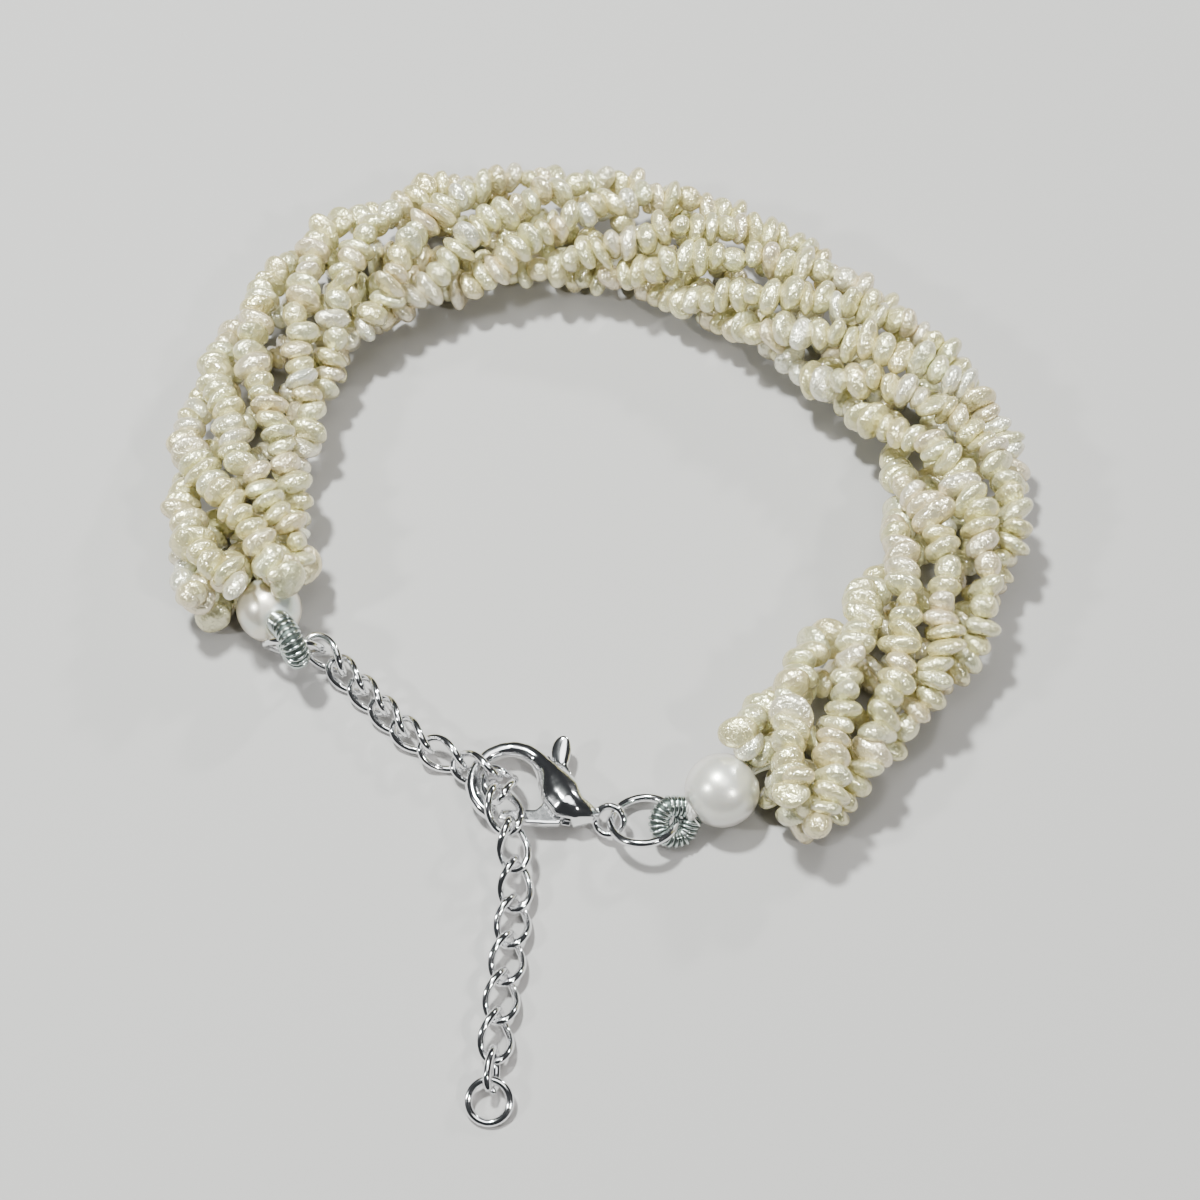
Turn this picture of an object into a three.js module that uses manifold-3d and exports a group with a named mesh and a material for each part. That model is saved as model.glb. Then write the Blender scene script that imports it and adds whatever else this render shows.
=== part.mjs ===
// Bracelet of six twisted strands of small freshwater pearls.
// A round pearl at each end holds the gathered threads, and a wire-wrapped loop joins them to a jump ring.
// A lobster clasp hooks into an extender chain, whose free end hangs on as a tail.
// Millimetres, +Z up, lying on a surface at z = 0. The clasp lies in front, the rope of strands behind.
import * as THREE from "three";
import { mergeVertices } from "three/addons/utils/BufferGeometryUtils.js";
import Module from "manifold-3d";

const wasm = await Module();
wasm.setup();

// Clearance between neighbouring solids
const clearance = 0.25;

// Rope of pearl strands
const strandCount = 6;
const strandDiameter = 2.75;
const ropeLay = 42; // length of rope in one full turn of the strands
const ropeHalfWidth = 4.55; // from the rope's centre to a strand's centre, sideways
const ropeHalfHeight = 2.95; // the same, upwards
const ropePhase = 20; // degrees, where the first strand begins round the rope
const strandSides = 8;
const strandSteps = 78;

// End pearls and what ties them to the rings
const leftPearlDiameter = 5.1;
const rightPearlDiameter = 5.6;
const pearlHole = 1.4;
const pearlSides = 16;
const threadDiameter = 0.7;
const threadReach = 0.6; // how far the gathered threads run on into the rope
const gimpDiameter = 1.65; // fine wire coil that covers the thread loop
const leftStandOff = 2.2; // from the pearl to the ring's wire
const rightStandOff = 1.3;

// Jump rings
const leftRingRadius = 2.2;
const leftRingWire = 0.6;
const leftRingLean = 15; // degrees from upright
const leftRingHeading = -5;
const leftOutHeading = -61; // from the pearl to the ring
const rightRingRadius = 2.45;
const rightRingWire = 0.66;
const rightRingTilt = 23; // degrees, the front edge is the higher one
const rightRingRise = 7; // degrees, towards the pearl
const rightRingHeading = -3;
const rightOutHeading = 32; // from the ring to the pearl
const leftGimpTilt = 90; // degrees, a loop at 90 stands on edge
const rightGimpTilt = 45;

// Lobster clasp, laid out from the centre of its hook
const claspHeading = -21.9; // degrees, from the hook to the base ring
const claspReach = 8.04; // from the hook's centre to the base ring's centre
const claspMidHeight = 1.5; // above the surface that it lies on
const hookRadius = 2.87;
const hookWire = 0.96;
const hookTipAngle = 266;
const hookRootAngle = 66;
const bodyWidth = 3.75;
const bodyThickness = 3.3;
const baseRingRadius = 1.1;
const baseRingWire = 0.5;
const baseRingRoll = 30; // degrees, the front edge is the lower one
const leverThickness = 0.8;
const pinDiameter = 0.6;
const tabWidth = 2.0;

// Extender chain
const linkLength = 4.4;
const linkWidth = 3.0;
const linkWire = 0.6;
const linkTwist = 45; // degrees each way, from the middle of a link to its end
const endRingRadius = 1.5;
const openLinkLength = 3.7;
const openLinkWidth = 2.7;
const wireSides = 6;
const wireSteps = 18;

// Places, seen from above. The rope's route has few points, chosen by hand, from the left end round the back.
const hookCentre = new THREE.Vector3(-6.76, -16.47, claspMidHeight);
const leftPearlPlace = [-25.8, -2.2];
const ropeRoute = [
  [-27.2, -2.4],
  [-28.2, 3.5],
  [-28.7, 9.0],
  [-27.9, 15.5],
  [-25.3, 22.6],
  [-20.2, 28.7],
  [-12.6, 32.6],
  [-4.2, 33.7],
  [4.0, 32.5],
  [11.7, 28.7],
  [19.0, 23.1],
  [25.2, 16.6],
  [28.2, 9.5],
  [27.3, 2.3],
  [23.7, -4.9],
  [18.3, -11.4],
  [12.4, -18.6],
];

const degrees = Math.PI / 180;
const up = new THREE.Vector3(0, 0, 1);

const pearlFinish = { color: 0xece2c6, roughness: 0.3, metalness: 0.0 };
const roundPearlFinish = { color: 0xe9e6dc, roughness: 0.22, metalness: 0.0 };
const silverFinish = { color: 0xd8dadc, roughness: 0.16, metalness: 1.0 };
const gimpFinish = { color: 0xb9c2bb, roughness: 0.32, metalness: 1.0 };
const threadFinish = { color: 0xeeeae0, roughness: 0.8, metalness: 0.0 };

const bracelet = new THREE.Group();

function addPiece(name, geometry, finish, parent = bracelet) {
  const mesh = new THREE.Mesh(geometry, new THREE.MeshStandardMaterial(finish));
  mesh.name = name;
  parent.add(mesh);
  return mesh;
}

// A closed geometry as a solid that can be joined and cut, and back
function solidFrom(geometry) {
  const bare = new THREE.BufferGeometry();
  bare.setAttribute("position", geometry.getAttribute("position").clone());
  if (geometry.index) bare.setIndex(geometry.index.clone());
  const merged = mergeVertices(bare, 1e-4);
  const corners = merged.index.array;
  const triVerts = [];
  for (let i = 0; i < corners.length; i += 3) {
    const [a, b, c] = corners.subarray(i, i + 3);
    if (a !== b && b !== c && c !== a) triVerts.push(a, b, c);
  }
  return new wasm.Manifold(
    new wasm.Mesh({
      numProp: 3,
      vertProperties: new Float32Array(merged.attributes.position.array),
      triVerts: new Uint32Array(triVerts),
    }),
  );
}

function geometryFrom(solid) {
  const { vertProperties, triVerts } = solid.getMesh();
  const geometry = new THREE.BufferGeometry();
  geometry.setAttribute("position", new THREE.BufferAttribute(vertProperties, 3));
  geometry.setIndex(new THREE.BufferAttribute(triVerts, 1));
  const faceted = geometry.toNonIndexed();
  faceted.computeVertexNormals();
  return faceted;
}

// Closed skin over rings of points that run counter-clockwise round the way forward
function skinOver(rings, endless) {
  const sides = rings[0].length;
  const index = [];
  const spans = endless ? rings.length : rings.length - 1;
  for (let i = 0; i < spans; i++) {
    const here = i * sides;
    const next = ((i + 1) % rings.length) * sides;
    for (let j = 0; j < sides; j++) {
      const k = (j + 1) % sides;
      index.push(here + j, here + k, next + k);
      index.push(here + j, next + k, next + j);
    }
  }
  if (!endless) {
    const last = (rings.length - 1) * sides;
    for (let j = 1; j < sides - 1; j++) {
      index.push(0, j + 1, j);
      index.push(last, last + j, last + j + 1);
    }
  }
  const geometry = new THREE.BufferGeometry().setFromPoints(rings.flat());
  geometry.setIndex(index);
  return geometry;
}

// Round wire bent into an endless loop
function wireLoop(curve, diameter, sides, steps) {
  const frames = curve.computeFrenetFrames(steps, true);
  const rings = [];
  for (let i = 0; i < steps; i++) {
    const centre = curve.getPointAt(i / steps);
    const ring = [];
    for (let j = 0; j < sides; j++) {
      const angle = (2 * Math.PI * j) / sides;
      ring.push(
        centre
          .clone()
          .addScaledVector(frames.normals[i], (diameter / 2) * Math.cos(angle))
          .addScaledVector(frames.binormals[i], (diameter / 2) * Math.sin(angle)),
      );
    }
    rings.push(ring);
  }
  return skinOver(rings, true);
}

// Round bar or cord along an open path
function tubeAlong(points, diameter, sides, steps) {
  const section = new THREE.Shape();
  for (let j = 0; j < sides; j++) {
    const angle = (2 * Math.PI * j) / sides;
    const x = (diameter / 2) * Math.cos(angle);
    const y = (diameter / 2) * Math.sin(angle);
    if (j === 0) section.moveTo(x, y);
    else section.lineTo(x, y);
  }
  section.closePath();
  return new THREE.ExtrudeGeometry(section, {
    steps,
    bevelEnabled: false,
    extrudePath: new THREE.CatmullRomCurve3(points),
  });
}

function headingVector(angle, rise = 0) {
  return new THREE.Vector3(
    Math.cos(rise * degrees) * Math.cos(angle * degrees),
    Math.cos(rise * degrees) * Math.sin(angle * degrees),
    Math.sin(rise * degrees),
  );
}

function stepFrom(start, direction, distance) {
  return start.clone().addScaledVector(direction, distance);
}

// Clasp body: hook, shell, slot for the lever, pivot pin and base ring in one casting.
// Stations of the shell, as shares of the reach, the hook's radius, the body's width and its thickness
const shellStations = [
  { along: 0.27, aside: 0.73, width: 0.46, thickness: 0.6 },
  { along: 0.38, aside: 0.47, width: 0.71, thickness: 0.82 },
  { along: 0.48, aside: 0.18, width: 0.96, thickness: 0.95 },
  { along: 0.58, aside: -0.03, width: 0.9, thickness: 1.0 },
  { along: 0.7, aside: -0.06, width: 0.65, thickness: 0.86 },
  { along: 0.81, aside: 0.0, width: 0.38, thickness: 0.52 },
  { along: 0.86, aside: 0.0, width: 0.27, thickness: 0.3 },
];
const claspSides = 12;
const hookSteps = 11;

// Outlines in the clasp's plane, as shares of the reach and of the hook's radius
const slotOutline = [
  [0.225, 1.25],
  [0.28, 0.8],
  [0.335, 0.42],
  [0.33, 0.17],
  [0.27, 0.07],
  [0.18, 0.0],
  [0.18, -1.25],
  [0.66, -1.12],
  [0.68, -0.35],
  [0.7, 0.17],
  [0.75, 0.7],
  [0.65, 1.25],
];
const leverOutline = [
  [0.034, -1.09],
  [0.034, -0.81],
  [0.33, -0.48],
  [0.36, -0.3],
  [0.375, 0.3],
  [0.345, 0.82],
  [0.29, 1.12],
  [0.4, 1.12],
  [0.5, 0.81],
  [0.6, 0.62],
  [0.61, 0.1],
  [0.605, -0.35],
  [0.59, -0.63],
  [0.45, -0.78],
  [0.18, -1.03],
];
const pivotShare = [0.497, 0.07];
const tabStations = [
  { along: 0.375, aside: 0.9, width: 0.5, height: 0.32 },
  { along: 0.33, aside: 1.14, width: 0.46, height: 0.36 },
  { along: 0.3, aside: 1.38, width: 0.34, height: 0.75 },
  { along: 0.295, aside: 1.58, width: 0.25, height: 1.0 },
  { along: 0.315, aside: 1.7, width: 0.12, height: 0.7 },
];

function inClaspPlane(along, aside) {
  return new THREE.Vector3(along * claspReach, aside * hookRadius, 0);
}

// Oval sections across a path in the clasp's plane
function ovalSkin(stations, sides) {
  const rings = stations.map((station, i) => {
    const before = stations[Math.max(i - 1, 0)].centre;
    const after = stations[Math.min(i + 1, stations.length - 1)].centre;
    const forward = after.clone().sub(before).normalize();
    const across = up.clone().cross(forward);
    const ring = [];
    for (let j = 0; j < sides; j++) {
      const angle = (2 * Math.PI * (j + 0.5)) / sides;
      ring.push(
        station.centre
          .clone()
          .addScaledVector(across, station.halfWidth * Math.cos(angle))
          .addScaledVector(up, station.halfHeight * Math.sin(angle)),
      );
    }
    return ring;
  });
  return skinOver(rings, false);
}

function platePrism(outline, thickness) {
  const shape = new THREE.Shape(outline.map(([along, aside]) => {
    const corner = inClaspPlane(along, aside);
    return new THREE.Vector2(corner.x, corner.y);
  }));
  const plate = new THREE.ExtrudeGeometry(shape, { depth: thickness, bevelEnabled: false });
  return plate.translate(0, 0, -thickness / 2);
}

const pivot = inClaspPlane(...pivotShare);

function pivotCylinder(diameter, length) {
  const cylinder = new THREE.CylinderGeometry(diameter / 2, diameter / 2, length, 10);
  return solidFrom(cylinder.rotateX(Math.PI / 2).translate(pivot.x, pivot.y, 0));
}

function claspBody() {
  const stations = [];
  for (let i = 0; i < hookSteps; i++) {
    const angle = hookTipAngle + ((hookRootAngle - hookTipAngle) * i) / (hookSteps - 1);
    const swell = 1 + 0.22 * Math.max(0, i - (hookSteps - 4)) ** 0.8 / 2;
    stations.push({
      centre: headingVector(angle).multiplyScalar(hookRadius),
      halfWidth: (hookWire / 2) * swell,
      halfHeight: (hookWire / 2) * swell,
    });
  }
  for (const { along, aside, width, thickness } of shellStations) {
    stations.push({
      centre: inClaspPlane(along, aside),
      halfWidth: (bodyWidth / 2) * width,
      halfHeight: (bodyThickness / 2) * thickness,
    });
  }
  const shell = solidFrom(ovalSkin(stations, claspSides));
  const ring = new THREE.TorusGeometry(baseRingRadius, baseRingWire / 2, wireSides, wireSteps);
  ring.rotateX(baseRingRoll * degrees).translate(claspReach, 0, 0);
  const slot = solidFrom(platePrism(slotOutline, leverThickness + 2 * clearance));
  const pin = pivotCylinder(pinDiameter, bodyThickness * 0.7);
  const under = new THREE.BoxGeometry(4 * claspReach, 4 * claspReach, bodyThickness);
  under.translate(0, 0, -claspMidHeight - bodyThickness / 2);
  const casting = shell.subtract(slot).add(solidFrom(ring)).add(pin);
  return geometryFrom(casting.subtract(solidFrom(under)));
}

function claspLever() {
  const plate = solidFrom(platePrism(leverOutline, leverThickness));
  const hole = pivotCylinder(pinDiameter + 2 * clearance, 2 * leverThickness);
  const tab = tabStations.map(({ along, aside, width, height }) => ({
    centre: inClaspPlane(along, aside),
    halfWidth: (tabWidth / 2) * width,
    halfHeight: (tabWidth / 2) * height,
  }));
  return geometryFrom(plate.add(solidFrom(ovalSkin(tab, 8))).subtract(hole));
}

const clasp = new THREE.Group();
clasp.position.copy(hookCentre);
clasp.rotation.z = claspHeading * degrees;
bracelet.add(clasp);
addPiece("clasp_body", claspBody(), silverFinish, clasp);
addPiece("clasp_lever", claspLever(), silverFinish, clasp);

function fromClasp(along, aside) {
  return stepFrom(
    stepFrom(hookCentre, headingVector(claspHeading), along),
    headingVector(claspHeading + 90),
    aside,
  );
}

// Ring of wire whose plane is spanned by two directions
function ringAt(name, centre, first, second, radius, wire) {
  const mesh = addPiece(
    name,
    new THREE.TorusGeometry(radius, wire / 2, wireSides, 22),
    silverFinish,
  );
  const normal = first.clone().cross(second).normalize();
  mesh.quaternion.setFromRotationMatrix(new THREE.Matrix4().makeBasis(first, second, normal));
  mesh.position.copy(centre);
  return mesh;
}

// Wire-wrapped loop round a ring's wire, both legs running to the pearl
function gimpLoop(name, ringPoint, ringTangent, toPearl, tilt, ringWire, standOff) {
  const level = up.clone().cross(toPearl).normalize();
  const raised = toPearl.clone().cross(level);
  const aside = level.clone().multiplyScalar(Math.cos(tilt * degrees));
  aside.addScaledVector(raised, Math.sin(tilt * degrees));
  const crossing = Math.abs(ringTangent.dot(toPearl.clone().cross(aside)));
  const radius = (gimpDiameter / 2 + ringWire / 2 + 1.6 * clearance) / crossing;
  const legs = standOff - clearance;
  const path = [];
  const place = (along, across) => stepFrom(stepFrom(ringPoint, toPearl, along), aside, across);
  path.push(place(legs, radius), place(legs / 2, radius));
  for (let i = 0; i <= 8; i++) {
    const angle = (Math.PI * i) / 8;
    path.push(place(-radius * Math.sin(angle), radius * Math.cos(angle)));
  }
  path.push(place(legs / 2, -radius), place(legs, -radius));
  return addPiece(name, tubeAlong(path, gimpDiameter, 10, 20), gimpFinish);
}

function drilledPearl(name, centre, axis, diameter) {
  const ball = new THREE.SphereGeometry(diameter / 2, pearlSides, pearlSides * 0.75);
  const drill = new THREE.CylinderGeometry(pearlHole / 2, pearlHole / 2, diameter * 1.5, 10);
  const mesh = addPiece(name, geometryFrom(solidFrom(ball).subtract(solidFrom(drill))), roundPearlFinish);
  mesh.quaternion.setFromUnitVectors(new THREE.Vector3(0, 1, 0), axis);
  mesh.position.copy(centre);
  return mesh;
}

// Threads gathered into one cord, from the rope through the pearl to the wire-wrapped loop
function gatheredThread(name, pearlCentre, toRing, pearlDiameter, ringWire, standOff) {
  const reach = pearlDiameter / 2 + standOff - ringWire / 2 - 2.5 * clearance;
  const back = pearlDiameter / 2 + threadReach;
  return addPiece(
    name,
    tubeAlong(
      [
        stepFrom(pearlCentre, toRing, -back),
        pearlCentre,
        stepFrom(pearlCentre, toRing, reach),
      ],
      threadDiameter,
      8,
      4,
    ),
    threadFinish,
  );
}

// Left end: pearl, loop, upright ring
const leftPearl = new THREE.Vector3(...leftPearlPlace, leftPearlDiameter / 2);
const leftReach = leftPearlDiameter / 2 + leftStandOff;
const leftRingTop = leftRingWire / 2 + 2 * leftRingRadius * Math.cos(leftRingLean * degrees);
const leftClimb = Math.asin((leftRingTop - leftPearlDiameter / 2) / leftReach) / degrees;
const leftOut = headingVector(leftOutHeading, leftClimb);
const leftWrap = stepFrom(leftPearl, leftOut, leftReach);
const leftRingAlong = headingVector(leftRingHeading);
const leftRingDown = headingVector(leftRingHeading + 90, leftRingLean - 90);
const leftRingCentre = stepFrom(leftWrap, leftRingDown, leftRingRadius);
const leftBack = leftOut.clone().negate();
drilledPearl("end_pearl_left", leftPearl, leftOut, leftPearlDiameter);
gatheredThread("thread_left", leftPearl, leftOut, leftPearlDiameter, leftRingWire, leftStandOff);
gimpLoop("wrapped_loop_left", leftWrap, leftRingAlong, leftBack, leftGimpTilt, leftRingWire, leftStandOff);
ringAt("jump_ring_left", leftRingCentre, leftRingAlong, leftRingDown, leftRingRadius, leftRingWire);

// Right end: base ring, tilted ring, loop, pearl
const rightRingAlong = headingVector(rightRingHeading, rightRingRise);
const rightRingBack = headingVector(rightRingHeading + 90, -rightRingTilt);
rightRingBack.addScaledVector(rightRingAlong, -rightRingBack.dot(rightRingAlong)).normalize();
const rightRingStart = stepFrom(fromClasp(claspReach, 0), rightRingAlong, baseRingWire / 4);
const rightRingCentre = stepFrom(rightRingStart, rightRingAlong, rightRingRadius);
const rightWrap = stepFrom(rightRingCentre, rightRingAlong, rightRingRadius);
const rightReach = rightPearlDiameter / 2 + rightStandOff;
const rightClimb = Math.asin((rightPearlDiameter / 2 - rightWrap.z) / rightReach) / degrees;
const rightOut = headingVector(rightOutHeading, rightClimb);
const rightBack = rightOut.clone().negate();
const rightPearl = stepFrom(rightWrap, rightOut, rightReach);
ringAt("jump_ring_right", rightRingCentre, rightRingAlong, rightRingBack, rightRingRadius, rightRingWire);
gimpLoop(
  "wrapped_loop_right",
  rightWrap,
  rightRingBack,
  rightOut,
  rightGimpTilt,
  rightRingWire,
  rightStandOff,
);
drilledPearl("end_pearl_right", rightPearl, rightOut, rightPearlDiameter);
gatheredThread("thread_right", rightPearl, rightBack, rightPearlDiameter, rightRingWire, rightStandOff);

// Strands of small pearls, each a round cord of the pearls' outer size
const ropeHeight = ropeHalfHeight + strandDiameter / 2;
const ropeCurve = new THREE.CatmullRomCurve3(
  ropeRoute.map(([x, y]) => new THREE.Vector3(x, y, ropeHeight)),
  false,
  "centripetal",
);
const ropeLength = ropeCurve.getLength();

function strandPoint(turnStart, distance) {
  const share = THREE.MathUtils.clamp(distance / ropeLength, 0, 1);
  const outward = up.clone().cross(ropeCurve.getTangentAt(share));
  const even = turnStart - (2 * Math.PI * distance) / ropeLay;
  // Equal steps round the oval, not equal angles
  const squash = (ropeHalfWidth - ropeHalfHeight) / (2 * (ropeHalfWidth + ropeHalfHeight));
  const angle = even + squash * Math.sin(2 * even);
  return ropeCurve
    .getPointAt(share)
    .addScaledVector(outward, ropeHalfWidth * Math.cos(angle))
    .addScaledVector(up, ropeHalfHeight * Math.sin(angle));
}

function strandPath(turnStart) {
  const samples = 240;
  const points = [];
  for (let i = 0; i <= samples; i++) points.push(strandPoint(turnStart, (ropeLength * i) / samples));
  const clearOf = (centre, diameter) => (point) =>
    point.distanceTo(centre) > diameter / 2 + strandDiameter / 2 + clearance;
  const half = points.length / 2;
  const head = points.slice(0, half);
  const tail = points.slice(half);
  const clearLeft = clearOf(leftPearl, leftPearlDiameter);
  const clearRight = clearOf(rightPearl, rightPearlDiameter);
  const firstClear = head.findLastIndex((point) => !clearLeft(point)) + 1;
  const firstBlocked = tail.findIndex((point) => !clearRight(point));
  const kept = firstBlocked < 0 ? tail : tail.slice(0, firstBlocked);
  return head.slice(firstClear).concat(kept);
}

for (let i = 0; i < strandCount; i++) {
  const turnStart = (ropePhase + (360 * i) / strandCount) * degrees;
  addPiece(
    "strand_" + (i + 1),
    tubeAlong(strandPath(turnStart), strandDiameter, strandSides, strandSteps),
    pearlFinish,
  );
}

// Curb link: an oval of wire, twisted so that neighbours cross at right angles
const linkReach = (linkLength - linkWire) / 2;

function linkCurve(centre, forward, roll, reach, halfWidth, twist) {
  const level = up.clone().cross(forward).normalize();
  const raised = forward.clone().cross(level);
  const points = [];
  const count = 24;
  for (let i = 0; i < count; i++) {
    const angle = (2 * Math.PI * i) / count;
    const along = Math.cos(angle);
    const aside = halfWidth * Math.sin(angle);
    const turn = (roll + twist * along) * degrees;
    points.push(
      stepFrom(centre, forward, reach * along)
        .addScaledVector(level, aside * Math.cos(turn))
        .addScaledVector(raised, aside * Math.sin(turn)),
    );
  }
  return new THREE.CatmullRomCurve3(points, true);
}

const linkHalfWidth = (linkWidth - linkWire) / 2;

// Height of a link's centre when its lowest wire touches the surface
function restingHeight(forward, roll, reach, halfWidth, twist) {
  const curve = linkCurve(new THREE.Vector3(), forward, roll, reach, halfWidth, twist);
  return linkWire / 2 - Math.min(...curve.points.map((point) => point.z));
}

// Adds a link no lower than the surface allows, and returns its centre
function addLink(name, centre, forward, roll) {
  const lowest = restingHeight(forward, roll, linkReach, linkHalfWidth, linkTwist);
  const seated = centre.clone().setZ(Math.max(centre.z, lowest));
  const curve = linkCurve(seated, forward, roll, linkReach, linkHalfWidth, linkTwist);
  addPiece(name, wireLoop(curve, linkWire, wireSides, wireSteps), silverFinish);
  return seated;
}

// The link that the hook holds, and its neighbours, each laid from the end of the one before it, away from
// the hook: heading, rise and roll in degrees, and how far the two overlap
const hookedHeading = -23.5;
const hookedRise = 7;
const hookedRoll = 57.5;
const hookedShift = new THREE.Vector3(0.09, 0.03, 0.04); // from the middle of the hook's wire
const towardsRing = [
  { name: "link_near_hook", heading: -29.5, rise: -5.5, roll: 53, overlap: 0.94 },
  { name: "link_before_hook", heading: -40.5, rise: 6.5, roll: 60.5, overlap: 0.94 },
];
const towardsTail = [
  { name: "link_climbing", heading: -85, rise: 31.5, roll: 10, overlap: 1.1 },
  { name: "link_crossing", heading: -72.5, rise: -2.5, roll: -13, overlap: 1.0 },
  { name: "tail_1", heading: -82, rise: -24, roll: -34, overlap: 1.03 },
  { name: "tail_2", heading: -92, rise: -18.5, roll: -30, overlap: 0.88 },
  { name: "tail_3", heading: -96, rise: 0, roll: -23, overlap: 1.0 },
  { name: "tail_4", heading: -97.5, rise: 0, roll: -23.5, overlap: 0.91, lies: true },
  { name: "tail_5", heading: -97, rise: 0, roll: -28, overlap: 0.91, lies: true },
  { name: "tail_6", heading: -95, rise: 0, roll: -35.5, overlap: 0.86, lies: true },
];

const hookedForward = headingVector(hookedHeading, hookedRise);
const hookedCentre = fromClasp(-hookRadius, 0).add(hookedShift);
addLink("link_hooked", hookedCentre, hookedForward, hookedRoll);

// Adds links one after another and returns where the last one ends
function layLinks(links, side) {
  let end = stepFrom(hookedCentre, hookedForward, side * linkReach);
  for (const { name, heading, rise, roll, overlap, lies } of links) {
    const forward = headingVector(heading, rise);
    const centre = stepFrom(end, forward, side * (linkReach - overlap));
    const seated = addLink(name, lies ? centre.setZ(0) : centre, forward, roll);
    end = stepFrom(seated, forward, side * linkReach);
  }
  return end;
}

const stretchEnd = layLinks(towardsRing, -1);
const tailEnd = layLinks(towardsTail, 1);

// First stretch of chain: as many links as reach from the ring to those by the hook, their slack shared out
const stretchOverlap = 1.2; // about how far neighbours overlap there
const stretchRoll = { first: 55, last: 59 };
const stretchRise = { first: -22, others: 1 };
const stretchBow = 0.12;
const ringOverlap = 0.84 * linkReach; // how far the first link reaches into the ring
const chainStart = stepFrom(leftRingCentre, leftRingAlong, leftRingRadius);
const stretchMiddle = chainStart.clone().lerp(stretchEnd, 0.5);
const stretchAcross = up.clone().cross(stretchEnd.clone().sub(chainStart)).normalize();
stretchMiddle.addScaledVector(stretchAcross, 2 * stretchBow);
const stretch = new THREE.QuadraticBezierCurve3(chainStart, stretchMiddle, stretchEnd);
const stretchLength = stretch.getLength();
const ringStep = (leftRingWire - linkWire) / 2;
const stretchSpan = stretchLength + ringStep + ringOverlap;
const stretchCount = Math.round(stretchSpan / (2 * linkReach - stretchOverlap));
const stretchPitch = stretchSpan / stretchCount;

for (let i = 0; i < stretchCount; i++) {
  const share = (linkReach - ringOverlap - ringStep + i * stretchPitch) / stretchLength;
  const way = stretch.getTangentAt(share);
  const heading = Math.atan2(way.y, way.x) / degrees;
  const rise = i === 0 ? stretchRise.first : stretchRise.others;
  const roll = THREE.MathUtils.lerp(stretchRoll.first, stretchRoll.last, i / Math.max(stretchCount - 1, 1));
  addLink("link_" + (i + 1), stretch.getPointAt(share).setZ(0), headingVector(heading, rise), roll);
}

// Round wire with a slit where it was bent open
function openLoop(name, curve, slit, diameter) {
  const points = [];
  for (let i = 0; i <= 24; i++) points.push(curve.getPoint(slit / 2 + ((1 - slit) * i) / 24));
  addPiece(name, tubeAlong(points, diameter, wireSides, 20), silverFinish);
}

// Open link, nearly on edge, and the ring that it carries, which leans on the surface
const openHeading = -95;
const openRoll = -76;
const openTwist = 7;
const openOverlap = 0.92;
const openSlit = 0.1; // share of the link's way round
const openReach = (openLinkLength - linkWire) / 2;
const openHalfWidth = (openLinkWidth - linkWire) / 2;
const openForward = headingVector(openHeading);
const openCentre = stepFrom(tailEnd, openForward, openReach - openOverlap);
openCentre.setZ(restingHeight(openForward, openRoll, openReach, openHalfWidth, openTwist));
const openCurve = linkCurve(openCentre, openForward, openRoll, openReach, openHalfWidth, openTwist);
openLoop("open_link", openCurve, openSlit, linkWire);

const endRingHeading = -98;
const endRingDip = 19; // degrees, from the open link down to the surface
const endRingOverlap = 0.89;
const endRingForward = headingVector(endRingHeading, -endRingDip);
const endRingSide = headingVector(endRingHeading + 90);
const openEnd = stepFrom(openCentre, openForward, openReach);
const endRingCentre = stepFrom(openEnd, endRingForward, endRingRadius - endRingOverlap);
endRingCentre.setZ(linkWire / 2 + endRingRadius * Math.sin(endRingDip * degrees));
ringAt("end_ring", endRingCentre, endRingForward, endRingSide, endRingRadius, linkWire);

// The middle of the bracelet's box goes over the origin
const box = new THREE.Box3().setFromObject(bracelet);
const middle = box.getCenter(new THREE.Vector3());
bracelet.position.set(-middle.x, -middle.y, 0);

export default bracelet;
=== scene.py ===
import math
import random

import bmesh
import bpy
from mathutils import Matrix, Vector, noise


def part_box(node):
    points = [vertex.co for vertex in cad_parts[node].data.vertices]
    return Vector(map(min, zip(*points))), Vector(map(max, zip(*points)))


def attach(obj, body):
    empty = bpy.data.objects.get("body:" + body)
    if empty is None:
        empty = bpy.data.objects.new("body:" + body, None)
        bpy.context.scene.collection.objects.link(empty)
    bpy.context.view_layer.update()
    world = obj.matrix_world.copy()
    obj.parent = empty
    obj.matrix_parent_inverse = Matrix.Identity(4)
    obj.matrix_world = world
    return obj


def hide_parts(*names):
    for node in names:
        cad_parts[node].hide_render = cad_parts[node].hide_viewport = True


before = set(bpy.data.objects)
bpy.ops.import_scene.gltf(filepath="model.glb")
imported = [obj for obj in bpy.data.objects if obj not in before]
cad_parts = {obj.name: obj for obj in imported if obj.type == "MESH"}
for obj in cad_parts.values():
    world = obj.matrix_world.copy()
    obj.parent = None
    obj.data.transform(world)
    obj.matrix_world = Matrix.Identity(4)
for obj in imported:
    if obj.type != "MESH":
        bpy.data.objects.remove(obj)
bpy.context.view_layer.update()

# Lengths below are millimetres in the place where the bracelet was laid out. shiftToPart moves them to the
# part's own frame, by the place of the left end pearl, and the scale to metres comes last.
millimetre = 0.001
upward = Vector((0, 0, 1))
leftPearlPlace = Vector((-25.8, -2.2, 2.55))
lowCorner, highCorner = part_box("end_pearl_left")
shiftToPart = (Vector(lowCorner) + Vector(highCorner)) / (2 * millimetre) - leftPearlPlace


def headingVector(angle, rise=0.0):
    flat = math.cos(math.radians(rise))
    return Vector((
        flat * math.cos(math.radians(angle)),
        flat * math.sin(math.radians(angle)),
        math.sin(math.radians(rise)),
    ))


def blendValue(low, high, share):
    return low + (high - low) * share


def smoothStep(low, high, value):
    t = min(max((value - low) / (high - low), 0.0), 1.0)
    return t * t * (3 - 2 * t)


# Curves through points, and places along them


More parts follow.
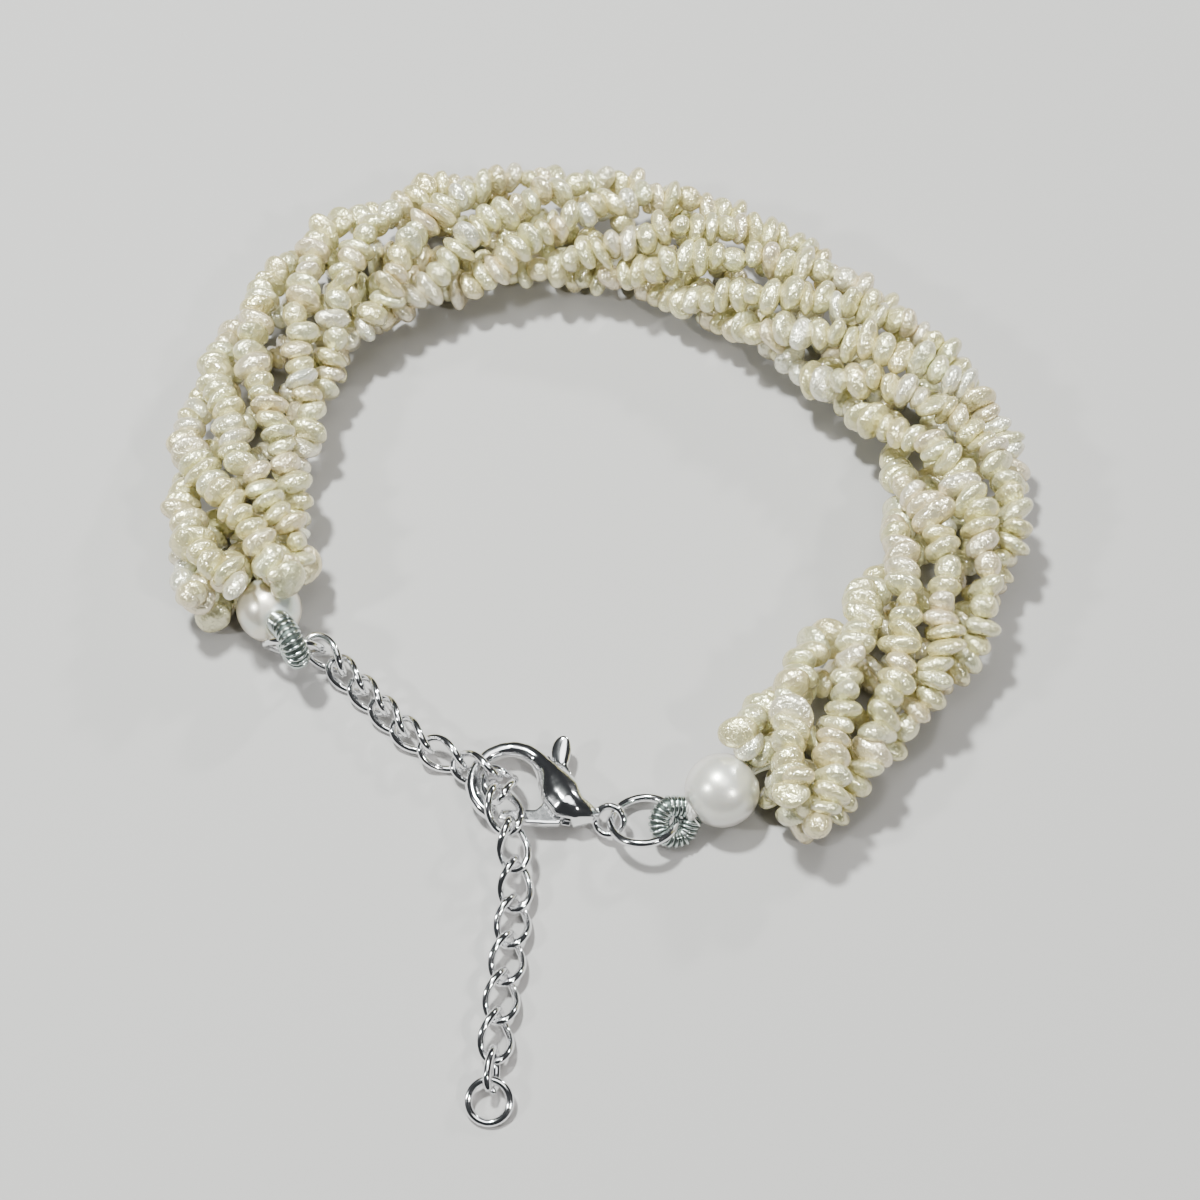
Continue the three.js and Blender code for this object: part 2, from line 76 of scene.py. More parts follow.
def curveThrough(points, closed=False, perSpan=12):
    count = len(points)
    spans = count if closed else count - 1
    out = []

    def at(i):
        if closed:
            return points[i % count]
        if i < 0:
            return points[0] * 2 - points[1]
        if i >= count:
            return points[-1] * 2 - points[-2]
        return points[i]

    for i in range(spans):
        p0, p1, p2, p3 = at(i - 1), at(i), at(i + 1), at(i + 2)
        d0 = max((p1 - p0).length ** 0.5, 1e-4)
        d1 = max((p2 - p1).length ** 0.5, 1e-4)
        d2 = max((p3 - p2).length ** 0.5, 1e-4)
        t1 = (p1 - p0) / d0 - (p2 - p0) / (d0 + d1) + (p2 - p1) / d1
        t2 = (p2 - p1) / d1 - (p3 - p1) / (d1 + d2) + (p3 - p2) / d2
        t1 *= d1
        t2 *= d1
        for k in range(perSpan):
            s = k / perSpan
            out.append(
                p1
                + t1 * s
                + (p2 * 3 - p1 * 3 - t1 * 2 - t2) * s ** 2
                + (p1 * 2 - p2 * 2 + t1 + t2) * s ** 3
            )
    if not closed:
        out.append(points[-1].copy())
    return out


class Route:
    def __init__(self, points):
        self.points = points
        self.marks = [0.0]
        for a, b in zip(points, points[1:]):
            self.marks.append(self.marks[-1] + (b - a).length)
        self.length = self.marks[-1]

    def at(self, distance):
        distance = min(max(distance, 0.0), self.length)
        low, high = 0, len(self.marks) - 1
        while high - low > 1:
            middle = (low + high) // 2
            if self.marks[middle] <= distance:
                low = middle
            else:
                high = middle
        step = self.marks[high] - self.marks[low]
        return self.points[low].lerp(self.points[high], (distance - self.marks[low]) / max(step, 1e-9))

    def way(self, distance, reach=0.3):
        return (self.at(distance + reach) - self.at(distance - reach)).normalized()


# Meshes


def basisFrom(centre, xAxis, yAxis, zAxis):
    turned = Matrix((xAxis, yAxis, zAxis)).transposed().to_4x4()
    turned.translation = centre
    return turned


def skinSections(bm, sections, closed=False):
    # Joins each ring of vertices to the next one, and caps the ends where the row is open
    edges = [list({e for v in ring for e in v.link_edges}) for ring in sections]
    pairs = list(zip(edges, edges[1:]))
    if closed:
        pairs.append((edges[-1], edges[0]))
    for here, there in pairs:
        bmesh.ops.bridge_loops(bm, edges=here + there)
    if not closed:
        for ring in (edges[0], edges[-1]):
            bmesh.ops.edgeloop_fill(bm, edges=ring)


def sweepWire(bm, points, radius, sides, closed=False):
    # A round section at each point of the wire's middle line
    count = len(points)
    sections = []
    side = None
    for i, point in enumerate(points):
        before = points[i - 1] if i or closed else points[0]
        after = points[(i + 1) % count] if i < count - 1 or closed else points[-1]
        way = (after - before).normalized()
        if side is None:
            side = way.orthogonal().normalized()
        side = (side - way * side.dot(way)).normalized()
        place = basisFrom(point, side, way.cross(side), way)
        ring = bmesh.ops.create_circle(bm, cap_ends=False, segments=sides, radius=radius, matrix=place)
        sections.append(ring["verts"])
    skinSections(bm, sections, closed)


def addPiece(name, bm, material, body, replaced=(), subdivide=0):
    bmesh.ops.recalc_face_normals(bm, faces=bm.faces)
    bmesh.ops.translate(bm, verts=bm.verts, vec=shiftToPart)
    bmesh.ops.scale(bm, verts=bm.verts, vec=Vector((millimetre,) * 3))
    for face in bm.faces:
        face.smooth = True
    mesh = bpy.data.meshes.new(name)
    bm.to_mesh(mesh)
    bm.free()
    piece = bpy.data.objects.new(name, mesh)
    bpy.context.scene.collection.objects.link(piece)
    mesh.materials.append(material)
    if subdivide:
        finer = piece.modifiers.new("finer", "SUBSURF")
        finer.levels = subdivide
        finer.render_levels = subdivide
    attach(piece, body)
    if replaced:
        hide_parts(*replaced)
    return piece


# Materials


class Signal:
    def __init__(self, tree, socket=None):
        self.tree = tree
        self.socket = socket

    def make(self, kind, settings=None, inputs=None, output=0):
        node = self.tree.nodes.new(kind)
        for key, value in (settings or {}).items():
            if key == "stops":
                ramp = node.color_ramp
                while len(ramp.elements) < len(value):
                    ramp.elements.new(0.5)
                for element, (place, colour) in zip(ramp.elements, value):
                    element.position = place
                    element.color = colour
            else:
                setattr(node, key, value)
        for key, value in (inputs or {}).items():
            if isinstance(value, Signal):
                self.tree.links.new(value.socket, node.inputs[key])
            else:
                node.inputs[key].default_value = value
        return Signal(self.tree, node.outputs[output] if node.outputs else None)

    def maths(self, operation, first, second):
        return self.make("ShaderNodeMath", {"operation": operation}, {0: first, 1: second})

    def __add__(self, other):
        return self.maths("ADD", self, other)

    def __radd__(self, other):
        return self.maths("ADD", other, self)

    def __rsub__(self, other):
        return self.maths("SUBTRACT", other, self)

    def __mul__(self, other):
        return self.maths("MULTIPLY", self, other)


def startMaterial(name):
    material = bpy.data.materials.new(name)
    material.use_nodes = True
    material.node_tree.nodes.clear()
    return material, Signal(material.node_tree)


def mixColours(start, share, first, second):
    return start.make(
        "ShaderNodeMix",
        {"data_type": "RGBA", "blend_type": "MIX"},
        {0: share, 6: first, 7: second},
        output=2,
    )


def finishMaterial(start, values):
    surface = start.make("ShaderNodeBsdfPrincipled", None, values)
    start.make("ShaderNodeOutputMaterial", None, {"Surface": surface})


def nacreMaterial(name, look):
    material, start = startMaterial(name)
    place = start.make("ShaderNodeTexCoord", None, None, "Object")
    if look["perPearl"]:
        tint = start.make("ShaderNodeAttribute", {"attribute_name": "tint"}, None, "Color")
        apart = start.make("ShaderNodeSeparateColor", None, {"Color": tint}, "Red")
        shade = start.make("ShaderNodeSeparateColor", None, {"Color": tint}, "Green")
        gloss = start.make("ShaderNodeSeparateColor", None, {"Color": tint}, "Blue")
        base = start.make("ShaderNodeValToRGB", {"stops": look["colours"]}, {"Fac": apart}, "Color")
    else:
        shade = start.make(
            "ShaderNodeTexNoise", None, {"Vector": place, "Scale": look["cloudScale"], "Detail": 2.0}, "Fac"
        )
        gloss = shade
        base = start.make("ShaderNodeValToRGB", {"stops": look["colours"]}, {"Fac": shade}, "Color")
    cloud = start.make(
        "ShaderNodeTexNoise", None, {"Vector": place, "Scale": look["cloudScale"], "Detail": 3.0}, "Fac"
    )
    base = mixColours(start, cloud * look["cloudShare"], base, look["cloudColour"])
    # Orient tints mixed into the base colour by view angle, strongest where the surface faces the camera:
    # partly the nacre's own overtone colour, partly painted sheen
    orientSheen = start.make(
        "ShaderNodeTexNoise", None, {"Vector": place, "Scale": look["orientSheenScale"], "Detail": 1.0}, "Fac"
    )
    sheen = start.make("ShaderNodeValToRGB", {"stops": look["orientSheen"]}, {"Fac": orientSheen}, "Color")
    facing = start.make("ShaderNodeLayerWeight", None, {"Blend": 0.35}, "Facing")
    base = mixColours(start, (1 - facing) * look["orientSheenShare"], base, sheen)
    if look["perPearl"]:
        base = mixColours(start, shade * look["shadeShare"], base, look["shadeColour"])
    ripple = start.make(
        "ShaderNodeTexNoise",
        None,
        {
            "Vector": place,
            "Scale": look["rippleScale"],
            "Detail": 3.0,
            "Roughness": 0.55,
            "Distortion": 0.6,
        },
        "Fac",
    )
    pits = start.make(
        "ShaderNodeTexVoronoi",
        {"feature": "SMOOTH_F1"},
        {"Vector": place, "Scale": look["pitScale"]},
        "Distance",
    )
    relief = ripple + pits * look["pitShare"]
    bump = start.make(
        "ShaderNodeBump",
        None,
        {"Strength": look["bump"], "Distance": look["bumpHeight"], "Height": relief},
        "Normal",
    )
    finishMaterial(start, {
        "Base Color": base,
        "Roughness": look["roughness"] + gloss * look["roughnessSpread"],
        "Metallic": look["lustre"],
        "IOR": 1.6,
        "Specular IOR Level": 0.62,
        "Subsurface Weight": look["subsurface"],
        "Subsurface Radius": (1.0, 0.72, 0.42),
        "Subsurface Scale": look["subsurfaceReach"],
        "Coat Weight": look["coat"],
        "Coat Roughness": look["coatRoughness"],
        "Coat IOR": look["coatIor"],
        "Thin Film Thickness": look["film"],
        "Thin Film IOR": 1.36,
        "Normal": bump,
    })
    return material


def metalMaterial(name, look):
    material, start = startMaterial(name)
    place = start.make("ShaderNodeTexCoord", None, None, "Object")
    haze = start.make(
        "ShaderNodeTexNoise", None, {"Vector": place, "Scale": look["hazeScale"], "Detail": 4.0}, "Fac"
    )
    scuffs = start.make(
        "ShaderNodeTexNoise",
        None,
        {"Vector": place, "Scale": look["scuffScale"], "Detail": 5.0, "Roughness": 0.7, "Distortion": 1.2},
        "Fac",
    )
    colour = mixColours(start, haze * look["hazeShare"], look["colour"], look["hazeColour"])
    bump = start.make(
        "ShaderNodeBump",
        None,
        {"Strength": look["bump"], "Distance": look["bumpHeight"], "Height": scuffs},
        "Normal",
    )
    finishMaterial(start, {
        "Base Color": colour,
        "Metallic": 1.0,
        "Roughness": look["roughness"] + scuffs * look["roughnessSpread"],
        "Normal": bump,
    })
    return material


def threadMaterial(name, look):
    material, start = startMaterial(name)
    place = start.make("ShaderNodeTexCoord", None, None, "Object")
    fibre = start.make(
        "ShaderNodeTexNoise", None, {"Vector": place, "Scale": look["fibreScale"], "Detail": 4.0}, "Fac"
    )
    colour = mixColours(start, fibre, look["light"], look["dark"])
    bump = start.make(
        "ShaderNodeBump", None, {"Strength": 0.5, "Distance": 0.00004, "Height": fibre}, "Normal"
    )
    finishMaterial(start, {
        "Base Color": colour,
        "Roughness": 0.45 + fibre * 0.25,
        "Subsurface Weight": 0.35,
        "Subsurface Radius": (1.0, 0.95, 0.85),
        "Subsurface Scale": 0.0004,
        "Sheen Weight": 0.3,
        "Normal": bump,
    })
    return material


smallPearlLook = {
    "perPearl": True,
    "colours": [
        (0.0, (0.76, 0.75, 0.46, 1)),
        (0.35, (0.75, 0.72, 0.36, 1)),
        (0.65, (0.75, 0.68, 0.29, 1)),
        (0.85, (0.81, 0.68, 0.42, 1)),
        (1.0, (0.86, 0.87, 0.72, 1)),
    ],
    "cloudScale": 620.0,
    "cloudShare": 0.30,
    "cloudColour": (0.64, 0.54, 0.18, 1),
    # Orient tints: the nacre's overtone colours, mixed in by view angle as painted sheen
    "orientSheenScale": 480.0,
    "orientSheen": [
        (0.30, (0.93, 0.84, 0.82, 1)),
        (0.50, (0.93, 0.91, 0.84, 1)),
        (0.68, (0.82, 0.92, 0.93, 1)),
    ],
    "orientSheenShare": 0.22,
    "shadeShare": 0.22,
    "shadeColour": (0.60, 0.49, 0.16, 1),
    "rippleScale": 1700.0,
    "pitScale": 2400.0,
    "pitShare": 0.3,
    "bump": 1.0,
    "bumpHeight": 0.00024,
    "roughness": 0.17,
    "roughnessSpread": 0.10,
    "lustre": 0.6,
    "subsurface": 0.06,
    "subsurfaceReach": 0.0006,
    "coat": 1.0,
    "coatRoughness": 0.05,
    "coatIor": 1.95,
    "film": 380.0,
}
ivoryPearlLook = {
    "perPearl": False,
    "colours": [(0.35, (0.78, 0.69, 0.48, 1)), (0.65, (0.84, 0.78, 0.62, 1))],
    "cloudScale": 260.0,
    "cloudShare": 0.35,
    "cloudColour": (0.76, 0.66, 0.42, 1),
    # Orient tints: the nacre's overtone colours, mixed in by view angle as painted sheen
    "orientSheenScale": 300.0,
    "orientSheen": [
        (0.34, (0.92, 0.84, 0.86, 1)),
        (0.50, (0.93, 0.90, 0.85, 1)),
        (0.64, (0.66, 0.84, 0.97, 1)),
    ],
    "orientSheenShare": 0.55,
    "rippleScale": 380.0,
    "pitScale": 700.0,
    "pitShare": 0.15,
    "bump": 0.12,
    "bumpHeight": 0.0002,
    "roughness": 0.26,
    "roughnessSpread": 0.10,
    "lustre": 0.55,
    "subsurface": 0.12,
    "subsurfaceReach": 0.0012,
    "coat": 0.5,
    "coatRoughness": 0.16,
    "coatIor": 1.6,
    "film": 420.0,
}
silveryPearlLook = dict(
    ivoryPearlLook,
    colours=[(0.35, (0.66, 0.62, 0.53, 1)), (0.65, (0.75, 0.73, 0.66, 1))],
    cloudColour=(0.72, 0.66, 0.53, 1),
    # Orient tints: the nacre's overtone colours, mixed in by view angle as painted sheen
    orientSheen=[
        (0.34, (0.86, 0.84, 0.84, 1)),
        (0.50, (0.90, 0.90, 0.89, 1)),
        (0.64, (0.84, 0.88, 0.90, 1)),
    ],
    orientSheenShare=0.4,
    roughness=0.27,
)
silverLook = {
    "colour": (0.93, 0.93, 0.94, 1),
    "hazeColour": (0.80, 0.81, 0.83, 1),
    "hazeScale": 300.0,
    "hazeShare": 0.25,
    "scuffScale": 1400.0,
    "bump": 0.08,
    "bumpHeight": 0.00003,
    "roughness": 0.07,
    "roughnessSpread": 0.09,
}
coilLook = dict(
    silverLook,
    colour=(0.70, 0.76, 0.74, 1),
    hazeColour=(0.42, 0.48, 0.46, 1),
    hazeShare=0.5,
    roughness=0.12,
)
threadLook = {
    "fibreScale": 5000.0,
    "light": (0.93, 0.91, 0.86, 1),
    "dark": (0.78, 0.75, 0.68, 1),
}
smallPearlNacre = nacreMaterial("small_pearl_nacre", smallPearlLook)
ivoryNacre = nacreMaterial("ivory_nacre", ivoryPearlLook)
silveryNacre = nacreMaterial("silvery_nacre", silveryPearlLook)
silverPlate = metalMaterial("silver_plate", silverLook)
coilMetal = metalMaterial("fine_coil_wire", coilLook)
# Painted shade: a near-black material for the tube inside each coil, standing for the shadow seen between the
# coil's turns
paintedShadeCoreLook = dict(silverLook, colour=(0.10, 0.12, 0.11, 1), hazeColour=(0.05, 0.06, 0.06, 1), roughness=0.4)
paintedShadeCoreMaterial = metalMaterial("coil_inside_painted_shade", paintedShadeCoreLook)
silkThread = threadMaterial("silk_thread", threadLook)
print("materials made")

# Where the ends of the rope are tied
ends = {
    "leftPearl": leftPearlPlace,
    "leftDiameter": 5.1,
    "leftOutHeading": -61,
    "leftStandOff": 2.2,
    "rightDiameter": 5.6,
    "rightOutHeading": 32,
    "rightStandOff": 1.3,
    "clearance": 0.25,
    "coilDiameter": 1.65,
}
clasp = {
    "hook": Vector((-6.76, -16.47, 1.5)),
    "heading": -21.9,
    "reach": 8.04,
    "hookRadius": 2.87,
    "baseWire": 0.5,
}
rings = {
    "leftRadius": 2.2,
    "leftWire": 0.6,
    "leftLean": 15,
    "leftHeading": -5,
    "rightRadius": 2.45,
    "rightWire": 0.66,
    "rightTilt": 23,
    "rightRise": 7,
    "rightHeading": -3,
    "leftCoilTilt": 90,
    "rightCoilTilt": 45,
    "sides": 16,
}

leftReach = ends["leftDiameter"] / 2 + ends["leftStandOff"]
leftRingTop = rings["leftWire"] / 2 + 2 * rings["leftRadius"] * math.cos(math.radians(rings["leftLean"]))
leftClimb = math.degrees(math.asin((leftRingTop - ends["leftDiameter"] / 2) / leftReach))
leftOut = headingVector(ends["leftOutHeading"], leftClimb)
leftWrap = ends["leftPearl"] + leftOut * leftReach
leftRingAlong = headingVector(rings["leftHeading"])
leftRingDown = headingVector(rings["leftHeading"] + 90, rings["leftLean"] - 90)
leftRingCentre = leftWrap + leftRingDown * rings["leftRadius"]


def fromClasp(along, aside):
    forward = headingVector(clasp["heading"])
    left = headingVector(clasp["heading"] + 90)
    return clasp["hook"] + forward * along + left * aside


rightRingAlong = headingVector(rings["rightHeading"], rings["rightRise"])
rightRingBack = headingVector(rings["rightHeading"] + 90, -rings["rightTilt"])
rightRingBack = (rightRingBack - rightRingAlong * rightRingBack.dot(rightRingAlong)).normalized()
rightRingCentre = (
    fromClasp(clasp["reach"], 0) + rightRingAlong * (clasp["baseWire"] / 4 + rings["rightRadius"])
)
rightWrap = rightRingCentre + rightRingAlong * rings["rightRadius"]
rightReach = ends["rightDiameter"] / 2 + ends["rightStandOff"]
rightClimb = math.degrees(math.asin((ends["rightDiameter"] / 2 - rightWrap.z) / rightReach))
rightOut = headingVector(ends["rightOutHeading"], rightClimb)
rightPearl = rightWrap + rightOut * rightReach

# Strands of small pearls
rope = {
    "route": [
        (-27.2, -2.4), (-28.2, 3.5), (-28.7, 9.0), (-27.9, 15.5), (-25.3, 22.6), (-20.2, 28.7),
        (-12.6, 32.6), (-4.2, 33.7), (4.0, 32.5), (11.7, 28.7), (19.0, 23.1), (25.2, 16.6),
        (28.2, 9.5), (27.3, 2.3), (23.7, -4.9), (18.3, -11.4), (12.4, -18.6),
    ],
    "strands": 6,
    "strandDiameter": 2.75,
    "lay": 42,
    "halfWidth": 4.55,
    "halfHeight": 2.95,
    "phase": 20,
    "wander": 0.24,
    "wanderLength": 9.0,
    # Rows of the noise that each strand's stray and width are read from
    "strayRow": 5.3,
    "widthRow": 3.1,
    "widthPlane": 9,
    "widthPace": 1.2,
    "widthShare": 0.45,
    # How far and how close the last pearls go round the end pearl
    "gather": 0.72,
    "gatherSteps": 12,
    "gatherGap": 1.35,
    "threadRadius": 0.12,
    "threadSteps": 90,
}
pearls = {
    "pitch": 1.32,
    "pitchSpread": 0.15,
    "across": 3.25,
    "acrossSpread": 0.28,
    "flatness": (0.74, 1.0),
    "tilt": 13,
    "slide": 0.22,
    "segments": 12,
    "rings": 7,
    "thickness": 1.2,
    "leastPitch": 0.95,
    "leastAcross": 2.5,
    "endGaps": (0.2, 0.6),
    "wayReach": 0.7,
    # Shares of the pearls that have another form
    "spiky": 0.05,
    "lobed": 0.25,
    "round": 0.03,
    "roundSize": (2.3, 2.25, 2.0),
    "spikyGrowth": 1.05,
    "seed": 4,
}
pearlForm = {
    "rough": 0.17,
    "roundRough": 0.05,
    "coarseScale": 1.4,
    "fineScale": 3.2,
    "fineShare": 0.6,
    "lobe": 0.13,
    "waist": 0.22,
    "spike": 0.45,
    "spikeWidth": 0.42,
    "spikeHeight": 0.5,
    "rimSwell": 0.16,
    "fold": 0.16,
    "foldScale": 1.6,
}

ropeHeight = rope["halfHeight"] + rope["strandDiameter"] / 2
ropeLine = Route(curveThrough([Vector((x, y, ropeHeight)) for x, y in rope["route"]], perSpan=40))


def strandPoint(turnStart, distance, wanderSeed):
    outward = upward.cross(ropeLine.way(distance)).normalized()
    even = turnStart - 2 * math.pi * distance / rope["lay"]
    squash = (rope["halfWidth"] - rope["halfHeight"]) / (2 * (rope["halfWidth"] + rope["halfHeight"]))
    angle = even + squash * math.sin(2 * even)
    along = distance / rope["wanderLength"]
    stray = rope["wander"] * noise.noise(Vector((along, wanderSeed * rope["strayRow"], 0)))
    widthSpot = Vector((rope["widthPace"] * along, wanderSeed * rope["widthRow"], rope["widthPlane"]))
    size = 1 + rope["widthShare"] * rope["wander"] * noise.noise(widthSpot)
    return (
        ropeLine.at(distance)
        + outward * (rope["halfWidth"] * size * math.cos(angle + stray))
        + upward * (rope["halfHeight"] * size * math.sin(angle + stray))
    )


def roundTheEnd(last, centre, toRing, diameter):
    # From a strand's last point round the end pearl, almost to the mouth of its hole
    away = last - centre
    points = []
    for i in range(1, rope["gatherSteps"] + 1):
        share = rope["gather"] * i / rope["gatherSteps"]
        radius = blendValue(away.length, diameter / 2 + rope["gatherGap"], share)
        points.append(centre + away.normalized().slerp(-toRing, share) * radius)
    return points


def strandRoute(index):
    turnStart = math.radians(rope["phase"] + 360 * index / rope["strands"])
    samples = 400
    points = [strandPoint(turnStart, ropeLine.length * i / samples, index + 1) for i in range(samples + 1)]
    keep = rope["strandDiameter"] / 2 + ends["clearance"]
    half = len(points) // 2
    start, stop = 0, len(points)
    for i in range(half):
        if (points[i] - ends["leftPearl"]).length < ends["leftDiameter"] / 2 + keep:
            start = i + 1
    for i in range(len(points) - 1, half, -1):
        if (points[i] - rightPearl).length < ends["rightDiameter"] / 2 + keep:
            stop = i
    kept = points[start:stop]
    head = roundTheEnd(kept[0], ends["leftPearl"], leftOut, ends["leftDiameter"])
    tail = roundTheEnd(kept[-1], rightPearl, -rightOut, ends["rightDiameter"])
    return Route(head[::-1] + kept + tail)


def shapePearl(verts, across, deep, thick, kind, rng):
    # verts are a ball of radius 1 whose poles lie on the drill hole's axis
    seed = Vector((rng.uniform(-50, 50), rng.uniform(-50, 50), rng.uniform(-50, 50)))
    spikeAt = rng.uniform(0, 2 * math.pi)
    spikeUp = rng.uniform(-0.3, 0.3)
    lobeAt = rng.uniform(0, math.pi)
    rough = pearlForm["roundRough"] if kind == "round" else pearlForm["rough"]
    for vert in verts:
        ball = vert.co.normalized()
        angle = math.atan2(ball.y, ball.x)
        rim = math.sqrt(max(1 - ball.z ** 2, 0))
        coarse = rough * noise.noise(ball * pearlForm["coarseScale"] + seed)
        fine = pearlForm["fineShare"] * rough * noise.noise(ball * pearlForm["fineScale"] + seed)
        grow = 1 + coarse + fine
        if kind == "lobed":
            grow *= 1 + pearlForm["lobe"] * rim * math.cos(2 * (angle - lobeAt))
            grow *= 1 - pearlForm["waist"] * abs(math.sin(angle - lobeAt)) ** 3 * rim
        if kind == "spiky":
            turn = (angle - spikeAt + math.pi) % (2 * math.pi) - math.pi
            around = turn / pearlForm["spikeWidth"]
            above = (ball.z - spikeUp) / pearlForm["spikeHeight"]
            grow *= 1 + pearlForm["spike"] * math.exp(-(around ** 2) - above ** 2)
        flat = 1.0
        fold = 0.0
        if kind != "round":
            flat = 1 + pearlForm["rimSwell"] * rim ** 4
            foldSpot = Vector((ball.x, ball.y, 0)) * pearlForm["foldScale"] + seed
            fold = pearlForm["fold"] * noise.noise(foldSpot)
        vert.co = Vector((
            ball.x * grow * across / 2,
            ball.y * grow * deep / 2,
            (ball.z * flat * grow + fold * rim) * thick / 2,
        ))


def makeStrand(index):
    rng = random.Random(pearls["seed"] * 100 + index)
    route = strandRoute(index)
    bm = bmesh.new()
    tint = bm.verts.layers.float_color.new("tint")
    startGap, endGap = pearls["endGaps"]
    distance = startGap
    count = 0
    while distance < route.length - endGap:
        roll = rng.random()
        kind = "plain"
        if roll < pearls["spiky"]:
            kind = "spiky"
        elif roll < pearls["spiky"] + pearls["lobed"]:
            kind = "lobed"
        elif roll < pearls["spiky"] + pearls["lobed"] + pearls["round"]:
            kind = "round"
        across = max(pearls["leastAcross"], rng.gauss(pearls["across"], pearls["acrossSpread"]))
        deep = across * rng.uniform(*pearls["flatness"])
        pitch = max(pearls["leastPitch"], rng.gauss(pearls["pitch"], pearls["pitchSpread"]))
        if kind == "round":
            across, deep, pitch = pearls["roundSize"]
        if kind == "spiky":
            across *= pearls["spikyGrowth"]
        distance += pitch / 2
        ball = bmesh.ops.create_uvsphere(
            bm, u_segments=pearls["segments"], v_segments=pearls["rings"], radius=1.0
        )["verts"]
        shapePearl(ball, across, deep, pitch * pearls["thickness"], kind, rng)
        way = route.way(distance, pearls["wayReach"])
        lean = Matrix.Rotation(math.radians(rng.gauss(0, pearls["tilt"])), 4, "X")
        lean = lean @ Matrix.Rotation(math.radians(rng.gauss(0, pearls["tilt"])), 4, "Y")
        spin = Matrix.Rotation(rng.uniform(0, 2 * math.pi), 4, "Z")
        slide = Vector((rng.gauss(0, pearls["slide"]), rng.gauss(0, pearls["slide"]), 0))
        place = way.to_track_quat("Z", "Y").to_matrix().to_4x4()
        place.translation = route.at(distance)
        bmesh.ops.transform(bm, matrix=place @ lean @ Matrix.Translation(slide) @ spin, verts=ball)
        low = min(vert.co.z for vert in ball)
        if low < 0:
            bmesh.ops.translate(bm, verts=ball, vec=Vector((0, 0, -low)))
        mark = (rng.random() ** 0.9, rng.random() ** 2, rng.random(), 1.0)
        for vert in ball:
            vert[tint] = mark
        distance += pitch / 2
        count += 1
    number = str(index + 1)
    addPiece(
        "small_pearls_" + number, bm, smallPearlNacre, "bracelet", ["strand_" + number],
        subdivide=1,
    )
    line = bmesh.new()
    steps = rope["threadSteps"]
    sweepWire(line, [route.at(route.length * i / steps) for i in range(steps + 1)], rope["threadRadius"], 6)
    addPiece("strand_thread_" + number, line, silkThread, "bracelet")
    return count, route


strandEnds = []
pearlCount = 0
for strandIndex in range(rope["strands"]):
    made, strandLine = makeStrand(strandIndex)
    pearlCount += made
    strandEnds.append((strandLine.points[0], strandLine.points[-1]))
print("small pearls:", pearlCount)


# Round pearls at the ends
roundPearl = {
    "segments": 48,
    "rings": 32,
    "holeRadius": 0.7,
    "dimple": 0.55,
    "dimpleEdge": (0.55, 1.35),
    "unevenness": 0.012,
    "unevenScale": 0.5,
}


def makeRoundPearl(name, centre, axis, diameter, material):
    bm = bmesh.new()
    radius = diameter / 2
    bmesh.ops.create_uvsphere(
        bm, u_segments=roundPearl["segments"], v_segments=roundPearl["rings"], radius=radius
    )
    inner, outer = [roundPearl["holeRadius"] * share for share in roundPearl["dimpleEdge"]]
    for vert in bm.verts:
        off = math.hypot(vert.co.x, vert.co.y)
        dimple = 1 - smoothStep(inner, outer, off)
        vert.co *= 1 + roundPearl["unevenness"] * noise.noise(vert.co * roundPearl["unevenScale"])
        if abs(vert.co.z) > radius / 2:
            vert.co.z -= math.copysign(roundPearl["dimple"] * dimple, vert.co.z)
    place = axis.to_track_quat("Z", "Y").to_matrix().to_4x4()
    place.translation = centre
    bmesh.ops.transform(bm, matrix=place, verts=bm.verts)
    addPiece(name, bm, material, "bracelet", [name.replace("round", "end")])


makeRoundPearl(
    "round_pearl_left", ends["leftPearl"], leftOut, ends["leftDiameter"], ivoryNacre
)
makeRoundPearl(
    "round_pearl_right", rightPearl, rightOut, ends["rightDiameter"], silveryNacre
)
print("end pearls made")

# Rings and chain of round wire


def ringPoints(centre, first, second, radius, steps=40):
    points = []
    for i in range(steps):
        angle = 2 * math.pi * i / steps
        points.append(centre + first * (radius * math.cos(angle)) + second * (radius * math.sin(angle)))
    return points


def makeRing(name, centre, first, second, radius, wire):
    bm = bmesh.new()
    sweepWire(bm, ringPoints(centre, first, second, radius), wire / 2, rings["sides"], closed=True)
    addPiece(name + "_wire", bm, silverPlate, "bracelet", [name])


makeRing(
    "jump_ring_left", leftRingCentre, leftRingAlong, leftRingDown, rings["leftRadius"], rings["leftWire"]
)
makeRing(
    "jump_ring_right", rightRingCentre, rightRingAlong, rightRingBack, rings["rightRadius"],
    rings["rightWire"],
)

